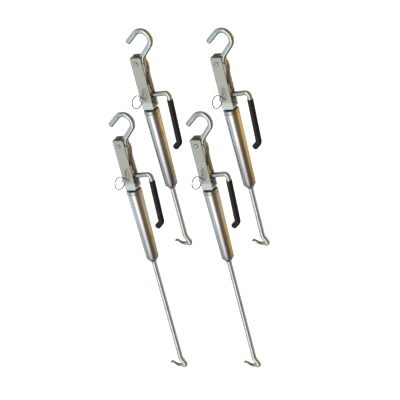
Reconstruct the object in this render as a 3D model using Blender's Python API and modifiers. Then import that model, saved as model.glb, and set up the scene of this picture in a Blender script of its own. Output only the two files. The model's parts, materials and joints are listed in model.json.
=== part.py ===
"""Kit of four lever tie-down turnbuckles: two long ones and two short ones.

Each turnbuckle is modelled in its own frame, in metres: +X towards its lever, +Y along its axis towards
its lever hook, +Z along its pins, with the origin on its axis at the foot of its channel. Its empty rolls
it about +Y, so that its lever swings open over its neighbour, and sets it down on its barrel.
"""
import math

import bmesh
import bpy

COLLECTION = "tie_down_turnbuckle_kit"

# The clearance between touching sub-parts, and a length that takes a cutter right through anything.
GAP = 0.0003
THROUGH = 0.05
ACROSS_TO_Y = (math.radians(90), 0, 0)

# The kit's layout: each turnbuckle's name, its place on the floor, its barrel's length, and the depth
# below the channel at which its lower rod starts to bend into its hook.
ROLL = math.radians(20)
LONG_BARREL = 0.1535
SHORT_BARREL = 0.163
LONG_REACH = 0.3985
SHORT_REACH = 0.286
UNITS = (
    ("long_1", (-0.1256, 0.0593), LONG_BARREL, LONG_REACH),
    ("long_2", (0.0235, 0.0319), LONG_BARREL, LONG_REACH),
    ("short_1", (-0.0492, 0.2217), SHORT_BARREL, SHORT_REACH),
    ("short_2", (0.1026, 0.1929), SHORT_BARREL, SHORT_REACH),
)

# Channel: a U section, open towards the lever, closed by a plate at its foot.
CHANNEL_LENGTH = 0.109
CHANNEL_HALF = 0.0120
CHANNEL_WALL = 0.0020
FOOT_PLATE = 0.0030
EDGE_ROUND = 0.0006
INNER_HALF = CHANNEL_HALF - CHANNEL_WALL

# Lever: two cheeks and a back in the channel, with a bent round arm and a sleeve grip.
LEVER_PIN_XY = (0.0, 0.0970)
LEVER_PIN_RADIUS = 0.0030
RIVET_HEAD_RADIUS = 0.0046
RIVET_HEAD_RISE = 0.0026
LINK_DROP = 0.0240
LINK_SHIFT = 0.0012
LINK_XY = (LEVER_PIN_XY[0] + LINK_SHIFT, LEVER_PIN_XY[1] - LINK_DROP)
LINK_PIN_RADIUS = 0.0025
CHEEK = 0.0016
CHEEK_OUTER = INNER_HALF - 0.0004
CHEEK_INNER = CHEEK_OUTER - CHEEK
CHEEK_HEAD = 0.0081
CHEEK_NOSE = 0.0158
CHEEK_FOOT = -0.0660
FRAME_BACK = 0.0014
FRAME_BACK_DROP = 0.0060
ARM_RADIUS = 0.0050
GRIP_RADIUS = 0.0061
ARM_REACH = 0.0465
ARM_LEAN = 0.0035
ARM_HEIGHT = 0.0260
ARM_WELD = (0.0040, 0.0490)
GRIP_TOP = 0.0160
GRIP_FOOT = -0.0775
GRIP_END = 0.0015
TOE = (-0.0115, -0.0100)

# Lever hook, bent from round bar.
HOOK_RADIUS = 0.0055
BOWL_RADIUS = 0.0160
BOWL_XY = (0.0224, 0.1450)
BOWL_FROM = math.radians(-38)
BOWL_TO = math.radians(128)
HOOK_TIP = 0.0306
HOOK_TAIL = 0.0042

# Locking pin and its ring.
LOCK_XY = (-0.0050, 0.0250)
LOCK_RADIUS = 0.0030
LOCK_HEAD_RADIUS = 0.0042
LOCK_HEAD_CHAMFER = 0.0013
LOCK_POINT = 0.0018
LOCK_EYE = 0.0169
LOCK_EYE_RADIUS = 0.0019
RING_RADIUS = 0.0125
RING_WIRE = 0.0010
RING_TURN = math.radians(-18)

# Barrel, its caps, and the draw bolt and spring inside it.
BARREL_RADIUS = 0.0155
BARREL_FOOT_RADIUS = 0.0126
BARREL_BORE = 0.0112
BARREL_TOP = -0.0030
CAP_BAND = 0.0080
CAP_ROLL = 0.0030
PLUG_DEPTH = 0.0040
CONE_LENGTH = 0.0105
CONE_NECK = 0.0066
CONE_RIM = 0.0018
NOSE_PLUG = 0.0080
BOLT_RADIUS = 0.0045
BOLT_LENGTH = 0.0800
BOLT_HEAD_RADIUS = 0.0080
BOLT_HEAD = 0.0050
BOLT_HEAD_CHAMFER = 0.0010
COLLAR_RADIUS = 0.0092
FLANGE_THICK = 0.0040
FLANGE_RADIUS = BARREL_BORE - 0.0005
SPRING_RADIUS = 0.0086
SPRING_WIRE = 0.0015
SPRING_TURNS = 5

# Lower rod and its hook.
ROD_RADIUS = 0.0050
ROD_INSIDE = 0.0400
TOE_SIZE = 0.46
TOE_TAPER = 0.62


def clear_scene():
    for obj in list(bpy.data.objects):
        bpy.data.objects.remove(obj, do_unlink=True)


def new_collection(name, hidden=False):
    collection = bpy.data.collections.new(name)
    collection.hide_render = hidden
    bpy.context.scene.collection.children.link(collection)
    return collection


def material(name, colour, roughness, metallic):
    made = bpy.data.materials.get(name) or bpy.data.materials.new(name)
    made.use_nodes = True
    shader = made.node_tree.nodes["Principled BSDF"]
    shader.inputs["Base Color"].default_value = (*colour, 1.0)
    shader.inputs["Roughness"].default_value = roughness
    shader.inputs["Metallic"].default_value = metallic
    return made


def zinc_sheet():
    return material("zinc_plated_sheet", (0.72, 0.73, 0.72), 0.32, 1.0)


def zinc_bar():
    return material("zinc_plated_bar", (0.62, 0.65, 0.67), 0.28, 1.0)


def polished_steel():
    return material("polished_steel", (0.70, 0.70, 0.69), 0.14, 1.0)


def grey_plating():
    return material("grey_plating", (0.36, 0.39, 0.41), 0.35, 1.0)


def spring_steel():
    return material("spring_steel", (0.25, 0.25, 0.26), 0.45, 1.0)


def black_vinyl():
    return material("black_vinyl", (0.025, 0.022, 0.020), 0.42, 0.0)


class Turnbuckle:
    """One turnbuckle's empty, name prefix and collections, which its sub-parts are made with."""

    def __init__(self, name, place, barrel, reach, parts, cutters):
        self.name = name
        self.barrel = barrel
        self.reach = reach
        self.parts = parts
        self.cutters = cutters
        self.empty = bpy.data.objects.new(name + "_frame", None)
        self.empty.empty_display_size = 0.02
        self.empty.location = (place[0], place[1], BARREL_RADIUS)
        self.empty.rotation_euler = (0.0, -ROLL, 0.0)
        parts.objects.link(self.empty)

    def add(self, part, data, look, at=(0.0, 0.0, 0.0), turn=(0.0, 0.0, 0.0)):
        """The sub-part as an object of its own, placed in the turnbuckle's frame."""
        obj = bpy.data.objects.new(self.name + "_" + part, data)
        obj.parent = self.empty
        obj.location = at
        obj.rotation_euler = turn
        obj.data.materials.append(look)
        self.parts.objects.link(obj)
        return obj

    def cut(self, obj, data, at=(0.0, 0.0, 0.0), turn=(0.0, 0.0, 0.0)):
        """Removes the shape from the object. Its place is in the turnbuckle's frame too."""
        cutter = bpy.data.objects.new(obj.name + "_cutter", data)
        cutter.parent = self.empty
        cutter.location = at
        cutter.rotation_euler = turn
        cutter.display_type = "WIRE"
        cutter.hide_render = True
        self.cutters.objects.link(cutter)
        modifier = obj.modifiers.new("cut", "BOOLEAN")
        modifier.operation = "DIFFERENCE"
        modifier.object = cutter


def smooth(mesh, degrees=40):
    mesh.shade_smooth()
    mesh.set_sharp_from_angle(angle=math.radians(degrees))
    return mesh


def box_mesh(low, high):
    """A box between two corners."""
    mesh = bpy.data.meshes.new("box")
    shape = bmesh.new()
    bmesh.ops.create_cube(shape, size=1.0)
    for vertex in shape.verts:
        for axis in range(3):
            middle = (low[axis] + high[axis]) / 2
            vertex.co[axis] = middle + vertex.co[axis] * (high[axis] - low[axis])
    shape.to_mesh(mesh)
    shape.free()
    return mesh


def rod_mesh(radius, length, sides=16):
    """A cylinder along Z, centred on its origin."""
    mesh = bpy.data.meshes.new("cylinder")
    shape = bmesh.new()
    bmesh.ops.create_cone(
        shape, cap_ends=True, segments=sides, radius1=radius, radius2=radius, depth=length
    )
    shape.to_mesh(mesh)
    shape.free()
    return smooth(mesh)


def turned_mesh(profile, sides=20):
    """A profile of (radius, height) points, from the top down its outer side, turned about Z."""
    line = bpy.data.meshes.new("profile")
    points = [(radius, 0.0, height) for radius, height in profile]
    line.from_pydata(points, [(i, i + 1) for i in range(len(points) - 1)], [])
    guide = bpy.data.objects.new("profile", line)
    bpy.context.scene.collection.objects.link(guide)
    screw = guide.modifiers.new("turn", "SCREW")
    screw.steps = sides
    screw.render_steps = sides
    screw.use_merge_vertices = True
    screw.merge_threshold = 0.00001
    return baked(guide)


def baked(guide):
    """The guide's evaluated mesh, with its loose caps welded. The guide is removed."""
    bpy.context.view_layer.update()
    graph = bpy.context.evaluated_depsgraph_get()
    mesh = bpy.data.meshes.new_from_object(guide.evaluated_get(graph))
    bpy.data.objects.remove(guide, do_unlink=True)
    shape = bmesh.new()
    shape.from_mesh(mesh)
    bmesh.ops.remove_doubles(shape, verts=shape.verts, dist=0.000001)
    shape.to_mesh(mesh)
    shape.free()
    return smooth(mesh)


def tube_mesh(path, radius, resolution=2, sizes=None, closed=False):
    """A round bar along the path's points. Sizes scales its radius at each point."""
    curve = bpy.data.curves.new("bar", "CURVE")
    curve.dimensions = "3D"
    curve.bevel_depth = radius
    curve.bevel_resolution = resolution
    curve.use_fill_caps = not closed
    spline = curve.splines.new("POLY")
    spline.points.add(len(path) - 1)
    spline.use_cyclic_u = closed
    for index, (point, place) in enumerate(zip(spline.points, path)):
        point.co = (*place, 1.0)
        point.radius = sizes[index] if sizes else 1.0
    guide = bpy.data.objects.new("bar", curve)
    bpy.context.scene.collection.objects.link(guide)
    return baked(guide)


def plate_mesh(outline, thickness):
    """A flat plate of the given outline in the XY plane, centred on Z."""
    curve = bpy.data.curves.new("plate", "CURVE")
    curve.dimensions = "2D"
    curve.fill_mode = "BOTH"
    curve.extrude = thickness / 2
    spline = curve.splines.new("POLY")
    spline.points.add(len(outline) - 1)
    spline.use_cyclic_u = True
    for point, place in zip(spline.points, outline):
        point.co = (*place, 0.0, 1.0)
    guide = bpy.data.objects.new("plate", curve)
    bpy.context.scene.collection.objects.link(guide)
    return baked(guide)


def bent(corners, radii, steps=5):
    """A path of straight runs between the corners, with an arc of the given radius at each inner one."""
    path = [corners[0]]
    for before, corner, after, radius in zip(corners, corners[1:], corners[2:], radii):
        into = unit_vector(before, corner)
        out = unit_vector(corner, after)
        turn = math.acos(max(-1.0, min(1.0, into[0] * out[0] + into[1] * out[1])))
        side = math.copysign(1.0, into[0] * out[1] - into[1] * out[0])
        back = radius * math.tan(turn / 2)
        start = (corner[0] - into[0] * back, corner[1] - into[1] * back)
        centre = (start[0] - side * into[1] * radius, start[1] + side * into[0] * radius)
        for step in range(steps + 1):
            angle = side * turn * step / steps
            dx, dy = start[0] - centre[0], start[1] - centre[1]
            x = centre[0] + dx * math.cos(angle) - dy * math.sin(angle)
            y = centre[1] + dx * math.sin(angle) + dy * math.cos(angle)
            path.append((x, y))
    path.append(corners[-1])
    return path


def unit_vector(start, end):
    length = math.hypot(end[0] - start[0], end[1] - start[1])
    return ((end[0] - start[0]) / length, (end[1] - start[1]) / length)


def arc(centre, radius, start, end, steps):
    """Points along an arc in the XY plane."""
    angles = [start + (end - start) * step / steps for step in range(steps + 1)]
    return [(centre[0] + radius * math.cos(a), centre[1] + radius * math.sin(a)) for a in angles]


def shifted(path, origin):
    """The plane path in 3D, measured from the origin."""
    return [(x - origin[0], y - origin[1], 0.0) for x, y in path]


def at(place, z=0.0):
    return (place[0], place[1], z)


def make_channel(unit):
    half, inner = CHANNEL_HALF, INNER_HALF
    body = unit.add("channel", box_mesh((-half, 0, -half), (half, CHANNEL_LENGTH, half)), zinc_sheet())
    edges = body.modifiers.new("rounded_edges", "BEVEL")
    edges.width = EDGE_ROUND
    edges.segments = 1
    inside = box_mesh((-inner, FOOT_PLATE, -inner), (2 * half, 2 * CHANNEL_LENGTH, inner))
    unit.cut(body, inside)
    unit.cut(body, rod_mesh(BOLT_RADIUS + GAP, THROUGH), turn=ACROSS_TO_Y)
    unit.cut(body, rod_mesh(LEVER_PIN_RADIUS + GAP, THROUGH), at(LEVER_PIN_XY))
    unit.cut(body, rod_mesh(LOCK_RADIUS + GAP, THROUGH), at(LOCK_XY))


def make_lever_pin(unit):
    """A rivet with a round head against each wall."""
    head = RIVET_HEAD_RADIUS
    top = CHANNEL_HALF + GAP
    profile = [
        (head * math.sin(angle), top + RIVET_HEAD_RISE * math.cos(angle))
        for angle in (0.0, 0.5, 1.0, math.pi / 2)
    ]
    profile += [(head, top), (LEVER_PIN_RADIUS, top)]
    profile += [(radius, -height) for radius, height in reversed(profile)]
    unit.add("lever_pin", turned_mesh(profile, 14), zinc_bar(), at(LEVER_PIN_XY))


def cheek_outline():
    """A cheek's outline about the lever pin: a round head, a nose past the walls, and a tapering leg."""
    head = arc((0.0, 0.0), CHEEK_HEAD, math.radians(60), math.radians(180), 6)
    foot = [
        (-CHEEK_HEAD, CHEEK_FOOT + 0.0040),
        (-CHEEK_HEAD / 2, CHEEK_FOOT),
        (0.0090, CHEEK_FOOT + 0.0020),
    ]
    nose = [(0.0095, -0.0420), (CHEEK_NOSE, -0.0150), (CHEEK_NOSE, -0.0040)]
    return head + foot + nose


def make_lever_frame(unit):
    """Two cheeks joined by a back plate that ends below the pin."""
    width = 2 * CHEEK_OUTER
    frame = unit.add("lever_frame", plate_mesh(cheek_outline(), width), zinc_sheet(), at(LEVER_PIN_XY))
    high = (THROUGH, LEVER_PIN_XY[1] + THROUGH, CHEEK_INNER)
    inside_back = (FRAME_BACK - CHEEK_HEAD, -THROUGH, -CHEEK_INNER)
    unit.cut(frame, box_mesh(inside_back, high))
    above_back = (-THROUGH, LEVER_PIN_XY[1] - FRAME_BACK_DROP, -CHEEK_INNER)
    unit.cut(frame, box_mesh(above_back, high))
    unit.cut(frame, rod_mesh(LEVER_PIN_RADIUS + GAP, THROUGH), at(LEVER_PIN_XY))
    unit.cut(frame, rod_mesh(LINK_PIN_RADIUS + GAP, THROUGH, 12), at(LINK_XY))


def make_link_pin(unit):
    """The pin that carries the hook between the cheeks, flush with them."""
    pin = rod_mesh(LINK_PIN_RADIUS, 2 * CHEEK_OUTER, 12)
    unit.add("link_pin", pin, zinc_bar(), at(LINK_XY))


def arm_path():
    """The arm from its weld in the lever frame, out of the channel, down beside the barrel, to its toe."""
    foot = (ARM_REACH - ARM_LEAN, GRIP_FOOT)
    corners = [
        ARM_WELD,
        (ARM_WELD[0], ARM_HEIGHT),
        (ARM_REACH + 0.0010, ARM_HEIGHT + 0.0040),
        foot,
        (foot[0] + TOE[0], foot[1] + TOE[1]),
    ]
    return bent(corners, (0.0085, 0.0075, 0.0080), 4)


def make_lever_arm(unit):
    path = shifted(arm_path(), LEVER_PIN_XY)
    unit.add("lever_arm", tube_mesh(path, ARM_RADIUS), zinc_bar(), at(LEVER_PIN_XY))


def make_grip(unit):
    """A sleeve over the arm's straight run and toe, closed at its far end."""
    run = [point for point in arm_path() if point[1] < GRIP_TOP]
    way = unit_vector(run[-2], run[-1])
    end = (run[-1][0] + GRIP_END * way[0], run[-1][1] + GRIP_END * way[1])
    bend = [point for point in arm_path() if point[1] >= GRIP_TOP][-1]
    share = (GRIP_TOP - bend[1]) / (run[0][1] - bend[1])
    path = [(bend[0] + share * (run[0][0] - bend[0]), GRIP_TOP)] + run[:-1] + [end]
    grip = tube_mesh(shifted(path, LEVER_PIN_XY), GRIP_RADIUS)
    sleeve = unit.add("grip", grip, black_vinyl(), at(LEVER_PIN_XY))
    bore = tube_mesh(shifted(arm_path(), LEVER_PIN_XY), ARM_RADIUS + GAP)
    unit.cut(sleeve, bore, at(LEVER_PIN_XY))


def hook_path():
    """From the eye on the link pin, past the lever pin, round the bowl and out to the tip."""
    bowl = arc(BOWL_XY, BOWL_RADIUS, BOWL_FROM, BOWL_TO, 12)
    shank = [
        (LINK_XY[0], LINK_XY[1] - HOOK_TAIL),
        (LINK_XY[0] + 0.0003, LINK_XY[1] + 0.0070),
        (0.0098, 0.0900),
        (0.0104, 0.1060),
        bowl[0],
    ]
    out = (-math.sin(BOWL_TO), math.cos(BOWL_TO))
    tip = (bowl[-1][0] + HOOK_TIP * out[0], bowl[-1][1] + HOOK_TIP * out[1])
    return bent(shank, (0.010, 0.010, 0.018), 3)[:-1] + bowl + [tip]


def make_top_hook(unit):
    path = shifted(hook_path(), LINK_XY)
    hook = unit.add("top_hook", tube_mesh(path, HOOK_RADIUS), zinc_bar(), at(LINK_XY))
    unit.cut(hook, rod_mesh(LINK_PIN_RADIUS + GAP, THROUGH, 12), at(LINK_XY))


def make_lock_pin(unit):
    """A plain pin through both walls, with a drilled head on the near side."""
    wall = CHANNEL_HALF + GAP
    top = LOCK_EYE + 0.0036
    point = -CHANNEL_HALF - LOCK_POINT
    profile = [
        (0.0, top),
        (LOCK_HEAD_RADIUS - LOCK_HEAD_CHAMFER, top),
        (LOCK_HEAD_RADIUS, top - LOCK_HEAD_CHAMFER),
        (LOCK_HEAD_RADIUS, wall),
        (LOCK_RADIUS, wall),
        (LOCK_RADIUS, point + LOCK_POINT / 2),
        (LOCK_RADIUS - LOCK_POINT / 2, point),
        (0.0, point),
    ]
    pin = unit.add("lock_pin", turned_mesh(profile, 14), zinc_bar(), at(LOCK_XY))
    unit.cut(pin, rod_mesh(LOCK_EYE_RADIUS, THROUGH, 12), at(LOCK_XY, LOCK_EYE), ACROSS_TO_Y)


def make_lock_ring(unit):
    """The pull ring, threaded through the pin's head and hinged about the hole."""
    count = 18
    angles = [2 * math.pi * step / count for step in range(count)]
    path = [(0.0, RING_RADIUS * math.sin(a), RING_RADIUS * (1 - math.cos(a))) for a in angles]
    ring = tube_mesh(path, RING_WIRE, 1, closed=True)
    unit.add("lock_ring", ring, zinc_bar(), at(LOCK_XY, LOCK_EYE), (0, RING_TURN, 0))


def along_barrel(unit, part, profile, look, y, sides=20):
    """A piece turned about the turnbuckle's axis, with its profile's zero height at the given depth."""
    to_axis = (math.radians(-90), 0, 0)
    return unit.add(part, turned_mesh(profile, sides), look, (0.0, y, 0.0), to_axis)


def make_draw_bolt(unit):
    """A headed bolt through the channel's foot and the top cap, with a collar and a spring flange."""
    head = FOOT_PLATE + GAP
    collar = BARREL_TOP + GAP
    foot = BARREL_TOP - BOLT_LENGTH
    profile = [
        (0.0, head + BOLT_HEAD),
        (BOLT_HEAD_RADIUS - BOLT_HEAD_CHAMFER, head + BOLT_HEAD),
        (BOLT_HEAD_RADIUS, head + BOLT_HEAD - BOLT_HEAD_CHAMFER),
        (BOLT_HEAD_RADIUS, head),
        (BOLT_RADIUS, head),
        (BOLT_RADIUS, -GAP),
        (COLLAR_RADIUS, -GAP),
        (COLLAR_RADIUS, collar),
        (BOLT_RADIUS, collar),
        (BOLT_RADIUS, foot),
        (FLANGE_RADIUS, foot),
        (FLANGE_RADIUS, foot - FLANGE_THICK),
        (0.0, foot - FLANGE_THICK),
    ]
    along_barrel(unit, "draw_bolt", profile, grey_plating(), 0.0, 12)


def spring_ends():
    """The spring's seats: under the top cap, and on the bolt's flange."""
    return BARREL_TOP - CAP_BAND - PLUG_DEPTH - GAP, BARREL_TOP - BOLT_LENGTH + GAP


def make_spring(unit):
    top, foot = spring_ends()
    top -= SPRING_WIRE
    foot += SPRING_WIRE
    count = SPRING_TURNS * 7
    path = []
    for step in range(count + 1):
        share = step / count
        angle = 2 * math.pi * SPRING_TURNS * share
        x, z = SPRING_RADIUS * math.cos(angle), SPRING_RADIUS * math.sin(angle)
        path.append((x, (foot - top) * share, z))
    unit.add("spring", tube_mesh(path, SPRING_WIRE, 1), spring_steel(), (0.0, top, 0.0))


def make_top_cap(unit):
    """A plug in the tube's mouth, with a rolled shoulder and a band that sits on the tube."""
    shoulder = [
        (BARREL_RADIUS - CAP_ROLL * (1 - math.sin(angle)), -CAP_ROLL * (1 - math.cos(angle)))
        for angle in (0.0, math.pi / 6, math.pi / 3, math.pi / 2)
    ]
    bore = BOLT_RADIUS + GAP
    plug = BARREL_BORE - GAP
    profile = [(bore, 0.0)] + shoulder
    profile += [
        (BARREL_RADIUS, -CAP_BAND + GAP),
        (plug, -CAP_BAND + GAP),
        (plug, -CAP_BAND - PLUG_DEPTH),
        (bore, -CAP_BAND - PLUG_DEPTH),
        (bore, 0.0),
    ]
    along_barrel(unit, "top_cap", profile, grey_plating(), BARREL_TOP)


def make_barrel_tube(unit):
    top = BARREL_TOP - CAP_BAND
    foot = BARREL_TOP - unit.barrel
    profile = [
        (BARREL_BORE, 0.0),
        (BARREL_RADIUS, 0.0),
        (BARREL_FOOT_RADIUS, foot - top),
        (BARREL_BORE, foot - top),
        (BARREL_BORE, 0.0),
    ]
    along_barrel(unit, "barrel_tube", profile, polished_steel(), top)


def make_end_cap(unit):
    """The tapered nose that closes the tube and holds the lower rod's thread."""
    plug = BARREL_BORE - GAP
    bore = ROD_RADIUS + GAP
    profile = [
        (bore, NOSE_PLUG),
        (plug, NOSE_PLUG),
        (plug, -GAP),
        (BARREL_FOOT_RADIUS, -GAP),
        (BARREL_FOOT_RADIUS, -CONE_RIM),
        (BARREL_FOOT_RADIUS - 0.8 * CONE_RIM, -2 * CONE_RIM),
        (CONE_NECK + 0.4 * CONE_RIM, -CONE_LENGTH + 0.9 * CONE_RIM),
        (CONE_NECK, -CONE_LENGTH),
        (bore, -CONE_LENGTH),
        (bore, NOSE_PLUG),
    ]
    along_barrel(unit, "end_cap", profile, polished_steel(), BARREL_TOP - unit.barrel)


def rod_path(start, foot):
    """Down the axis, out at the crank, back across it along the hook, and down at the toe."""
    corners = [
        (0.0, start),
        (0.0, foot),
        (0.0092, foot - 0.0178),
        (-0.0110, foot - 0.0162),
        (-0.0215, foot - 0.0082),
        (-0.0250, foot - 0.0115),
    ]
    return bent(corners, (0.0120, 0.0034, 0.0120, 0.0018), 3)


def rod_sizes(path):
    """The rod's share of its full radius at each point: full to just before its lowest, then thinner."""
    lowest = path.index(min(path, key=lambda place: place[1]))
    past = [max(0, index - lowest + 2) for index in range(len(path))]
    run = len(path) - 1 - lowest
    return [max(TOE_SIZE, 1.0 - TOE_TAPER * steps / run) for steps in past]


def make_hook_rod(unit):
    """The lower rod, screwed into the end cap, with a cranked hook at its foot."""
    start = BARREL_TOP - unit.barrel + ROD_INSIDE
    path = rod_path(start, -unit.reach)
    rod = tube_mesh(shifted(path, (0.0, start)), ROD_RADIUS, sizes=rod_sizes(path))
    unit.add("hook_rod", rod, zinc_bar(), (0.0, start, 0.0))


def make_turnbuckle(name, place, barrel, reach, parts, cutters):
    unit = Turnbuckle(name, place, barrel, reach, parts, cutters)
    make_channel(unit)
    make_lever_pin(unit)
    make_lever_frame(unit)
    make_lever_arm(unit)
    make_grip(unit)
    make_link_pin(unit)
    make_top_hook(unit)
    make_lock_pin(unit)
    make_lock_ring(unit)
    make_draw_bolt(unit)
    make_spring(unit)
    make_top_cap(unit)
    make_barrel_tube(unit)
    make_end_cap(unit)
    make_hook_rod(unit)


def main():
    clear_scene()
    parts = new_collection(COLLECTION)
    cutters = new_collection(COLLECTION + "_cutters", hidden=True)
    for unit in UNITS:
        make_turnbuckle(*unit, parts, cutters)


main()
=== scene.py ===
"""Looks for a kit of four lever tie-down turnbuckles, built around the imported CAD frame.

Each turnbuckle's pieces are made in its own frame: +X towards its lever, +Y along it towards its lever
hook, +Z along its pins, with the origin on its axis at the foot of its channel.
"""

import json
import math

import bpy
import numpy as np
from mathutils import Matrix, Vector


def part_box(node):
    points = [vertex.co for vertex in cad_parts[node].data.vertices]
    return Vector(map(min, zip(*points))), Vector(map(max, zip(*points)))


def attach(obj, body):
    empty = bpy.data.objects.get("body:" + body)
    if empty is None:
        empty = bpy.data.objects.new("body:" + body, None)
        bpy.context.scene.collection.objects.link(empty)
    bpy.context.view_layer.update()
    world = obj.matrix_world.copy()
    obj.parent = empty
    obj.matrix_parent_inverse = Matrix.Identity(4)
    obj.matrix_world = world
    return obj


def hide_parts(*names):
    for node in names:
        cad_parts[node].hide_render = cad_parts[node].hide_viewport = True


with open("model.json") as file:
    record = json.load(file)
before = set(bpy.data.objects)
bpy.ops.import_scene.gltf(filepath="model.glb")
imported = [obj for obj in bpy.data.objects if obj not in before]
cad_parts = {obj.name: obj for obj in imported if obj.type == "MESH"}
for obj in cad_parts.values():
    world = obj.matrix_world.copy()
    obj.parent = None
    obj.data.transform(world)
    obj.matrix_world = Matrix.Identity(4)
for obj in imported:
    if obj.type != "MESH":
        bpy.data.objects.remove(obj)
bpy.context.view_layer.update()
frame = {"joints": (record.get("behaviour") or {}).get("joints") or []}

MM = 0.001
UNITS = ("long_1", "long_2", "short_1", "short_2")
REACH = {"long": 398.5, "short": 286.0}

# Dimensions of the CAD, in millimetres in a turnbuckle's frame.
GAP = 0.3
CHANNEL_LENGTH = 109.0
CHANNEL_HALF = 12.0
INNER_HALF = 10.0
FOOT_PLATE = 3.0
LEVER_PIN = (0.0, 97.0)
LINK_PIN = (1.2, 73.0)
CHEEK_OUTER = 9.6
CHEEK_INNER = 8.0
ARM_RADIUS = 5.0
GRIP_RADIUS = 6.1
GRIP_TOP = 16.0
HOOK_RADIUS = 5.5
BOWL = (22.4, 145.0)
BOWL_RADIUS = 16.0
LOCK = (-5.0, 25.0)
LOCK_EYE = 16.9
BARREL_RADIUS = 15.5
BARREL_FOOT_RADIUS = 12.6
BARREL_BORE = 11.2
BARREL_TOP = -3.0
CAP_BAND = 8.0
CONE_LENGTH = 10.5
BOLT_RADIUS = 4.5
BOLT_LENGTH = 80.0
ROD_RADIUS = 5.0
ROD_INSIDE = 40.0
PIN_HOLE = 3.3
LINK_HOLE = 2.8
ARM_SIDE = 4.0

# The camera, in metres and degrees: it looks at the aim, turned about the vertical, tilted from straight
# down, then rolled. The view's width is what it takes in at the aim.
CAMERA_AIM = (0.00299, 0.01868, 0.03799)
CAMERA_TURN = 155.97
CAMERA_TILT = 27.56
CAMERA_ROLL = -168.09
CAMERA_DISTANCE = 4.0
VIEW_WIDTH = 0.7843


# ---------------------------------------------------------------- turnbuckle frames

class Unit:
    """One turnbuckle: its name, its matrix from millimetres to the row frame, and its lengths."""

    def __init__(self, name):
        self.name = name
        swing = next(j for j in frame["joints"] if j["name"] == name + "_lever_swing")
        pins = Vector(swing["axis"]).normalized()
        along = Vector((0.0, 1.0, 0.0))
        lever_side = along.cross(pins)
        origin = Vector(swing["pos_m"]) - along * LEVER_PIN[1] * MM
        turn = Matrix((lever_side, along, pins)).transposed().to_4x4()
        self.matrix = Matrix.Translation(origin) @ turn
        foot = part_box(name + "_barrel_tube")[0].y
        self.barrel = BARREL_TOP - (foot - origin.y) / MM
        self.reach = REACH[name.split("_")[0]]

    def add(self, mesh, label, body, node, slot, looks):
        """Places the mesh in this turnbuckle's frame, instead of the CAD node, riding on the body."""
        obj = bpy.data.objects.new(self.name + "_" + label, mesh)
        bpy.context.scene.collection.objects.link(obj)
        obj.matrix_world = self.matrix
        if not mesh.materials:
            for look in looks:
                mesh.materials.append(look)
        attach(obj, self.name + "_" + body)
        if node:
            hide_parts(self.name + "_" + node)
        return obj


# ---------------------------------------------------------------- shapes

def bent(corners, radii, steps=12):
    """A plane path of straight runs between corners, with an arc at each inner one."""
    path = [Vector(corners[0])]
    for before, corner, after, radius in zip(corners, corners[1:], corners[2:], radii):
        before, corner, after = Vector(before), Vector(corner), Vector(after)
        into = (corner - before).normalized()
        out = (after - corner).normalized()
        turn = math.atan2(into.x * out.y - into.y * out.x, into.dot(out))
        side = math.copysign(1.0, turn)
        start = corner - into * radius * math.tan(abs(turn) / 2)
        centre = start + Vector((-into.y, into.x)) * radius * side
        for step in range(steps + 1):
            path.append(centre + Matrix.Rotation(turn * step / steps, 2) @ (start - centre))
    path.append(Vector(corners[-1]))
    return path


def arc(centre, radius, start, end, steps):
    angles = [math.radians(start + (end - start) * i / steps) for i in range(steps + 1)]
    return [Vector((centre[0] + radius * math.cos(a), centre[1] + radius * math.sin(a))) for a in angles]


def filled(path, longest):
    """The path with points added so that no run is longer than the given length."""
    out = [path[0]]
    for start, end in zip(path, path[1:]):
        count = max(1, math.ceil((end - start).length / longest))
        out += [start.lerp(end, i / count) for i in range(1, count + 1)]
    return out


def cleaned(path):
    out = [path[0]]
    for point in path[1:]:
        if (point - out[-1]).length > 0.02:
            out.append(point)
    return out


def stations(path, radii, tip=0.0, tail=0.0):
    """(place, direction, radius) along a plane path, with its ends rounded by tip and tail."""
    path = cleaned(path)
    if not hasattr(radii, "__len__"):
        radii = [radii] * len(path)
    rows = []
    for i, point in enumerate(path):
        ahead = path[min(i + 1, len(path) - 1)] - point
        behind = point - path[max(i - 1, 0)]
        way = (ahead.normalized() if ahead.length else Vector((0, 0)))
        way = way + (behind.normalized() if behind.length else Vector((0, 0)))
        rows.append((point, way.normalized(), radii[i]))
    if tip:
        point, way, radius = rows.pop()
        for angle in (0, 25, 50, 70, 90):
            a = math.radians(angle)
            rows.append((point - way * tip * (1 - math.sin(a)), way, radius - tip * (1 - math.cos(a))))
        rows.append((point, way, 0.0))
    if tail:
        point, way, radius = rows.pop(0)
        head = [(point, way, 0.0)]
        for angle in (90, 70, 50, 25, 0):
            a = math.radians(angle)
            head.append((point + way * tail * (1 - math.sin(a)), way, radius - tail * (1 - math.cos(a))))
        rows = head + rows
    return rows


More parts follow.
